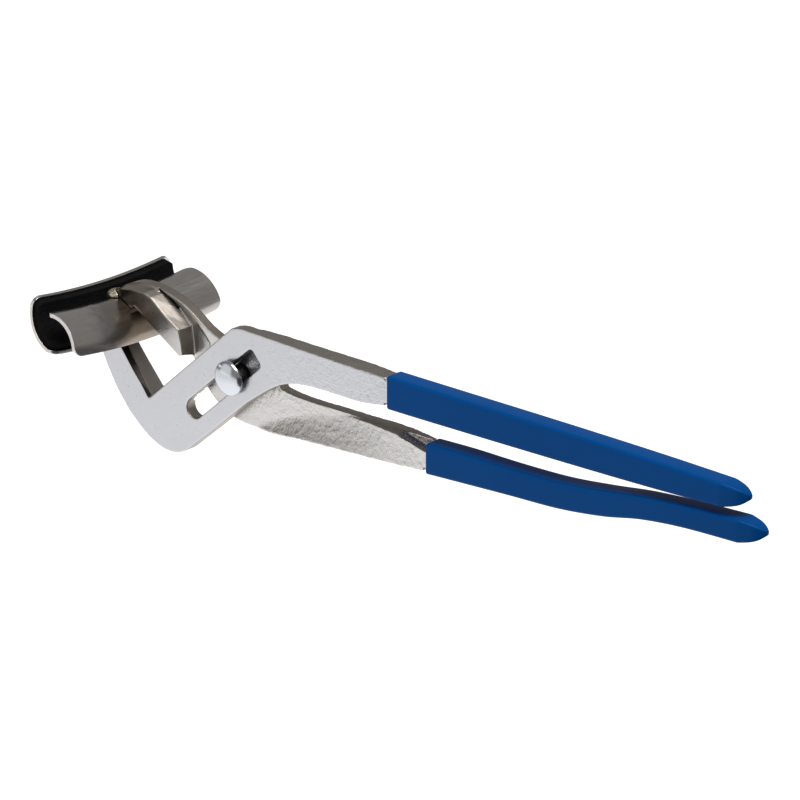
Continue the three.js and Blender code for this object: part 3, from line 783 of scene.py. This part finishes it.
def shell_steel(name, tint_place, reach, strength):
    """Polished steel with lengthwise streaks and a patch of heat tint."""
    material, tree, shader = new_material(name, Metallic=1.0, Roughness=0.22)
    lines = use_group(tree, streaks)
    base = blend_colours(
        tree,
        between(tree, lines.outputs["Value"], 0.3, 0.7),
        (0.49, 0.47, 0.455),
        (0.54, 0.52, 0.50),
    )
    tint = use_group(
        tree, heat_tint, X=tint_place[0], Y=tint_place[1], Z=tint_place[2], Reach=reach
    )
    amount = math_node(tree, "MULTIPLY", tint.outputs["Mask"], strength)
    coloured = blend_colours(tree, amount, base, tint.outputs["Colour"])
    wear = use_group(tree, edge_wear, Start=0.53, End=0.62)
    tree.links.new(
        blend_colours(tree, wear.outputs["Mask"], coloured, (0.8, 0.8, 0.82)),
        shader.inputs["Base Color"],
    )
    rough = between(tree, lines.outputs["Value"], 0.3, 0.7, 0.17, 0.25)
    tree.links.new(rough, shader.inputs["Roughness"])
    tree.links.new(
        bump(tree, lines.outputs["Value"], 0.04, 0.0001), shader.inputs["Normal"]
    )
    return material


front_steel = shell_steel(
    "front shell steel", tint_place=(-0.060, -0.020, 0.012), reach=0.038, strength=0.7
)
rear_steel = shell_steel(
    "rear shell steel", tint_place=(-0.083, -0.014, 0.004), reach=0.026, strength=0.8
)
print("shells:", front_steel.name, "and", rear_steel.name)

# %% Front and rear shells
front_shell = tyre_plate(
    "front_shell_plate",
    FRONT_SHELL,
    outer=FRONT_RADIUS,
    inner=FRONT_RADIUS - FRONT_THICK,
    length=FRONT_LENGTH,
    trim=0,
    corner=SHELL_CORNER,
    middle=shell_middle,
)
finished(bevelled(front_shell, SHELL_BEVEL), "front_shell", front_steel)
rear_shell = tyre_plate(
    "rear_shell_plate",
    REAR_SHELL,
    outer=REAR_RADIUS,
    inner=REAR_RADIUS - REAR_THICK,
    length=REAR_LENGTH,
    trim=0,
    corner=SHELL_CORNER,
    middle=shell_middle,
)
finished(bevelled(rear_shell, SHELL_BEVEL), "rear_shell", rear_steel)

# %% [markdown]
# ## Rubber lining
#
# A strip of moulded rubber is bonded inside the rear shell and leaves a narrow rim
# of bare steel. Its skin is matt with a fine random grain.

# %% Rubber material and lining
rubber, tree, shader = new_material("black rubber", Roughness=0.85, Specular_IOR_Level=0.04)
grain = use_group(tree, pitted, Fine_Scale=1500.0, Coarse_Scale=800.0, Coarse_Share=0.8)
dusty = use_group(tree, mottle, Size=120.0, Contrast=0.9)
tree.links.new(
    blend_colours(tree, dusty.outputs["Value"], (0.003, 0.003, 0.0035), (0.009, 0.009, 0.010)),
    shader.inputs["Base Color"],
)
tree.links.new(bump(tree, grain.outputs["Height"], 0.9, 0.0006), shader.inputs["Normal"])
lining_outer = REAR_RADIUS - REAR_THICK - SEAT_GAP
lining = tyre_plate(
    "rubber_lining_strip",
    REAR_SHELL,
    outer=lining_outer,
    inner=lining_outer - LINING_THICK,
    length=REAR_LENGTH - 2 * LINING_MARGIN,
    trim=LINING_MARGIN,
    corner=SHELL_CORNER - LINING_MARGIN,
    middle=shell_middle,
)
finished(bevelled(lining, LINING_BEVEL), "rubber_lining", rubber)

# %% [markdown]
# ## Dipped grips
#
# The handles are dipped in liquid vinyl, which leaves a thick smooth skin. The side
# facing the bolt's head is flat between two tight edges and the back is rounder. The
# mouth ends in a small roll and the tips draw in to a blunt end. Each grip is a hollow
# sleeve: an outer skin, a turned-over mouth and an inner skin round the steel.

# %% Grip sections
GRIP_HALF = 5.6
PLATE_MIDDLE = -14.0  # Y between the two halves of the tool, in the row frame
VINYL = 1.2
NOSE_LENGTH = 10.5
FRONT_ROUND, BACK_ROUND, TIP_BACK_ROUND = 1.5, 3.4, 3.0
MOUTH_ROLL, MOUTH_END = 0.7, 0.8
CORNER_STEPS = 8


def grip_section(x, top, bottom, half, round_front, round_back):
    """A section with a crisp front and a rounder back, as points in X, Y and Z."""
    corners = [
        (half - round_back, top - round_back, round_back, 0),
        (-half + round_front, top - round_front, round_front, 90),
        (-half + round_front, bottom + round_front, round_front, 180),
        (half - round_back, bottom + round_back, round_back, 270),
    ]
    points = []
    for y, z, r, start in corners:
        for step in range(CORNER_STEPS + 1):
            angle = math.radians(start + 90 * step / CORNER_STEPS)
            points.append(
                (x, PLATE_MIDDLE + y + r * math.cos(angle), z + r * math.sin(angle))
            )
    return points


def smooth_rows(rows, steps):
    """Rows of numbers joined by smooth curves."""
    made = []
    for i in range(len(rows) - 1):
        before, start = rows[max(i - 1, 0)], rows[i]
        end, after = rows[i + 1], rows[min(i + 2, len(rows) - 1)]
        for s in range(steps):
            t = s / steps
            row = []
            for p, a, b, n in zip(before, start, end, after):
                pull, push = (b - p) / 2, (n - a) / 2
                cube = 2 * a - 2 * b + pull + push
                square = -3 * a + 3 * b - 2 * pull - push
                row.append(((cube * t + square) * t + pull) * t + a)
            made.append(row)
    return made + [list(rows[-1])]


def grip_rings(handle, inset, tip):
    """Sections along a grip, drawn in by inset, with the tip drawn to a blunt end."""
    rails = handle["rails"]
    half = GRIP_HALF - inset
    rings = []
    for x, top, bottom in smooth_rows(rails, 14):
        rings.append(
            grip_section(x, top - inset, bottom + inset, half, FRONT_ROUND, BACK_ROUND)
        )
    x0, top0, bottom0 = rails[-1]
    for share in (0.1, 0.25, 0.4, 0.55, 0.7, 0.82, 0.91, 0.97, 1.0):
        shrink = 1 - 0.42 * share - 0.4 * share**4
        top = handle["tip"] + (top0 - inset - handle["tip"]) * shrink
        bottom = handle["tip"] + (bottom0 + inset - handle["tip"]) * shrink
        rounds = FRONT_ROUND * shrink, TIP_BACK_ROUND * shrink
        rings.append(grip_section(x0 + tip * share, top, bottom, half * shrink, *rounds))
    return rings


# %% Grip rails


def rails_along(node, rows):
    """Rails from rows of (share, top, bottom), with the length read from CAD."""
    low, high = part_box(node)
    start, run = low[0] / MM, (high[0] - low[0]) / MM - NOSE_LENGTH
    return [(start + share * run, top, bottom) for share, top, bottom in rows]


upper_handle = {
    "tip": 14.9,
    "rails": rails_along(
        "upper_grip",
        [
            (0, 22.1, 7.0),
            (0.18, 21.8, 7.1),
            (0.53, 21.2, 7.6),
            (0.8, 20.4, 8.3),
            (1, 19.4, 9.4),
        ],
    ),
}
lower_handle = {
    "tip": 2.4,
    "rails": rails_along(
        "lower_grip",
        [
            (0, -2.6, -16.6),
            (0.13, -2.0, -15.5),
            (0.29, -2.0, -14.2),
            (0.45, -1.2, -13.0),
            (0.59, 1.2, -10.2),
            (0.71, 3.8, -6.3),
            (0.84, 5.4, -4.1),
            (1, 6.6, -3.2),
        ],
    ),
}


def dipped_grip(name, handle):
    """A sleeve whose outer skin rolls in at the mouth and comes back as an inner skin."""
    outer = grip_rings(handle, 0, NOSE_LENGTH)
    inner = grip_rings(handle, VINYL, NOSE_LENGTH - VINYL)
    x, top, bottom = handle["rails"][0]
    roll = []
    for share in (0.0, 0.12, 0.5, 0.88, 1.0):
        inset = VINYL * share
        ease = MOUTH_ROLL * abs(2 * share - 1) ** 3
        edges = top - inset, bottom + inset, GRIP_HALF - inset
        roll.append(grip_section(x + ease, *edges, FRONT_ROUND, BACK_ROUND))
    start = [ring for ring in outer if ring[0][0] > x + MOUTH_END]
    inside = [ring for ring in inner if ring[0][0] > x + MOUTH_END]
    return loft(name, list(reversed(start)) + roll + inside)


# %% [markdown]
# Dipped vinyl is deep blue with a faint orange-peel skin. Its gloss is kept low,
# because a strong one would wash the blue out under such a white room.

# %% Vinyl material and grips
vinyl, tree, shader = new_material(
    "blue vinyl", Roughness=0.24, Specular_IOR_Level=0.035
)
depth = use_group(tree, mottle, Size=30.0, Contrast=0.6)
tree.links.new(
    blend_colours(tree, depth.outputs["Value"], (0.0004, 0.044, 0.175), (0.0006, 0.056, 0.22)),
    shader.inputs["Base Color"],
)
peel = use_group(tree, pitted, Fine_Scale=420.0, Coarse_Scale=160.0, Coarse_Share=0.4)
tree.links.new(bump(tree, peel.outputs["Height"], 0.03, 0.0004), shader.inputs["Normal"])
finished(smooth_shading(dipped_grip("upper_grip_vinyl", upper_handle)), "upper_grip", vinyl)
finished(smooth_shading(dipped_grip("lower_grip_vinyl", lower_handle)), "lower_grip", vinyl)

# %% [markdown]
# ## Pivot bolt, washer and nut
#
# The bolt is a bright domed head on a plain shank. The far end is threaded and holds
# a washer and a hexagon nut. Turned pieces are lofted from rings round the pivot;
# the thread is a ring whose radius rises and falls along a helix.

# %% Turned pieces
HEAD_RADIUS, HEAD_HEIGHT, HEAD_RIM = 8.0, 4.0, 0.6
SHANK_RADIUS, THREAD_RADIUS, THREAD_PITCH, THREAD_DEPTH = 4.65, 4.0, 1.25, 0.55
SLOTTED_PLATE, HEAD_STANDOFF = 6.0, 1.6
SEAT_Y = PLATE_MIDDLE - SLOTTED_PLATE - HEAD_STANDOFF
THREAD_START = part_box("pivot_nut")[0][1] / MM + 0.1
THREAD_LEAD_IN, THREAD_ROW, END_ROUND = 0.8, 0.09, 0.62
DOME_ROWS = 22
TURNED_STEPS = 96


def turned(name, profile, wave=None):
    """A solid of revolution about the pivot from [radius, Y] rows, front to back."""
    rings = []
    for radius, y in profile:
        ring = []
        for i in range(TURNED_STEPS):
            share = i / TURNED_STEPS
            r = radius if wave is None else radius - wave(share, y)
            angle = share * math.tau
            ring.append((r * math.cos(angle), y, r * math.sin(angle)))
        rings.append(ring)
    return loft(name, rings)


def thread_wave(share, y):
    """How far the thread's skin lies under its crest at an angle and a place along Y."""
    if y < THREAD_START:
        return 0
    lead_in = ramp_between(y, THREAD_START, THREAD_START + THREAD_LEAD_IN)
    turn = (y / THREAD_PITCH - share) % 1
    return lead_in * THREAD_DEPTH * abs(2 * turn - 1)


dome = [
    (
        max(HEAD_RADIUS * math.sin(a), 0.02),
        SEAT_Y - HEAD_RIM - (HEAD_HEIGHT - HEAD_RIM) * math.cos(a),
    )
    for a in np.linspace(0, math.pi / 2, DOME_ROWS)
]
rim = [
    (HEAD_RADIUS, SEAT_Y - 0.25),
    (HEAD_RADIUS - 0.1, SEAT_Y - 0.07),
    (HEAD_RADIUS - 0.3, SEAT_Y),
]
shank = [
    (SHANK_RADIUS + 0.1, SEAT_Y),
    (SHANK_RADIUS, SEAT_Y + 0.1),
    (SHANK_RADIUS, THREAD_START - 0.9),
]
thread_rows = np.arange(THREAD_START - 0.2, -END_ROUND, THREAD_ROW)
thread = [(THREAD_RADIUS, y) for y in thread_rows]
end = [
    (THREAD_RADIUS - 0.15, -0.5),
    (THREAD_RADIUS - 0.55, -0.06),
    (THREAD_RADIUS - END_ROUND, 0),
]
bolt = turned("pivot_bolt_domed", dome + rim + shank + thread + end, thread_wave)

# %% Bright plate and the bolt
bright, tree, shader = new_material("bright plate", Metallic=1.0, Roughness=0.22)
handled = use_group(tree, mottle, Size=300.0, Contrast=0.7)
tree.links.new(
    blend_colours(tree, handled.outputs["Value"], (0.48, 0.50, 0.54), (0.56, 0.58, 0.62)),
    shader.inputs["Base Color"],
)
tree.links.new(
    between(tree, handled.outputs["Value"], 0.2, 0.8, 0.17, 0.27),
    shader.inputs["Roughness"],
)
scuffs = use_group(tree, pitted, Fine_Scale=1800.0, Coarse_Scale=500.0, Coarse_Share=0.2)
tree.links.new(bump(tree, scuffs.outputs["Height"], 0.05, 0.0001), shader.inputs["Normal"])
finished(smooth_shading(bolt), "pivot_bolt", bright)

# %% Washer and nut
NO_DEEP_PITS = {"pits_from": 1.0, "pits_to": 2.0}  # both lie beyond the tool's end
# The faces of the washer and nut that look across the pivot get a slightly darker painted shade.
fastener_plate = nickel_plate(
    "nickel plate, fasteners",
    tint=(0.60, 0.60, 0.62),
    side_shade_tint=(0.50, 0.49, 0.49),
    **NO_DEEP_PITS,
)
SMALL_VOXEL, SMALL_SMOOTHING = 0.2 * MM, 3
washer_low, washer_high = (corner[1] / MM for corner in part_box("pivot_washer"))
hole, rim_radius, soft = 4.8, 8.5, 0.25
washer_profile = [
    (hole, washer_low + soft),
    (hole + soft, washer_low),
    (rim_radius - soft, washer_low),
    (rim_radius, washer_low + soft),
    (rim_radius, washer_high - soft),
    (rim_radius - soft, washer_high),
    (hole + soft, washer_high),
    (hole, washer_high - soft),
    (hole, washer_low + soft),
]
washer = bevelled(
    turned("pivot_washer_turned", washer_profile), width=0.08, segments=2, angle=30
)
finished(washer, "pivot_washer", fastener_plate)
nut = rounded_copy("pivot_nut", "pivot_nut_hexagon", SMALL_VOXEL, SMALL_SMOOTHING)
finished(nut, "pivot_nut", fastener_plate)

# %% [markdown]
# ## Welds
#
# A bead laid by hand is a row of overlapping ripples, each a frozen pool of metal.
# The beads along the arm are tubes whose thickness ripples along their length; the
# lump on the jaw's nose is rounded from CAD and then dimpled.

# %% Weld material
weld_metal, tree, shader = new_material("weld metal", Metallic=1.0, Roughness=0.3)
crust = use_group(tree, mottle, Size=420.0, Contrast=1.2)
tree.links.new(
    blend_colours(tree, crust.outputs["Value"], (0.34, 0.27, 0.17), (0.74, 0.70, 0.60)),
    shader.inputs["Base Color"],
)
tree.links.new(
    between(tree, crust.outputs["Value"], 0.2, 0.8, 0.42, 0.2), shader.inputs["Roughness"]
)
skin = use_group(tree, pitted, Fine_Scale=700.0, Coarse_Scale=500.0, Coarse_Share=1.0)
tree.links.new(bump(tree, skin.outputs["Height"], 0.4, 0.0004), shader.inputs["Normal"])

# %% Beads
RIPPLE = 1.1  # spacing of the frozen pools along a bead
BEAD_POINTS = 20
REAR_BEAD = {"radius": REAR_RADIUS + 1.9, "size": 1.6, "from": 200, "to": 256}
FRONT_BEAD = {"radius": FRONT_RADIUS + 1.5, "size": 1.2, "from": 48, "to": 98}


def weld_bead(node, name, section, bead):
    """A rippled tube that follows a shell's section at its CAD node's place along Y."""
    y = middle_along_y(node)
    radius, size, start = bead["radius"], bead["size"], bead["from"]
    run = math.radians(bead["to"] - start) * radius
    stations = np.linspace(0, run, int(run / 0.12))
    rings = []
    for along in stations:
        angle = math.radians(start) + along / radius
        near_end = min(along, run - along)
        taper = math.sqrt(max(1 - (1 - min(near_end / size, 1)) ** 2, 0.01))
        phase = (along / RIPPLE) % 1
        thick = size * taper * (0.86 + 0.10 * math.sin(math.pi * phase))
        ring = []
        for i in range(BEAD_POINTS):
            turn = math.tau * i / BEAD_POINTS
            reach = radius + thick * math.cos(turn)
            ring.append(
                (
                    section["x"] + reach * math.cos(angle),
                    y + thick * math.sin(turn),
                    section["z"] + reach * math.sin(angle),
                )
            )
        rings.append(ring)
    return finished(smooth_shading(loft(name, rings)), node, weld_metal)


for side in ("near", "far"):
    weld_bead(f"rear_shell_weld_{side}", f"rear_weld_bead_{side}", REAR_SHELL, REAR_BEAD)
weld_bead("front_shell_weld", "front_weld_bead", FRONT_SHELL, FRONT_BEAD)

# %% Nose weld
nose_weld = rounded_copy("front_shell_nose_weld", "nose_weld_lump", SMALL_VOXEL, SMALL_SMOOTHING)


def lumps(point):
    """How far a point of the lump lies under its skin."""
    return (0.28 * dents(point, 2.2 * MM) + 0.12 * dents(point, 1.1 * MM)) * MM


push_in(nose_weld, lumps)
finished(nose_weld, "front_shell_nose_weld", weld_metal)
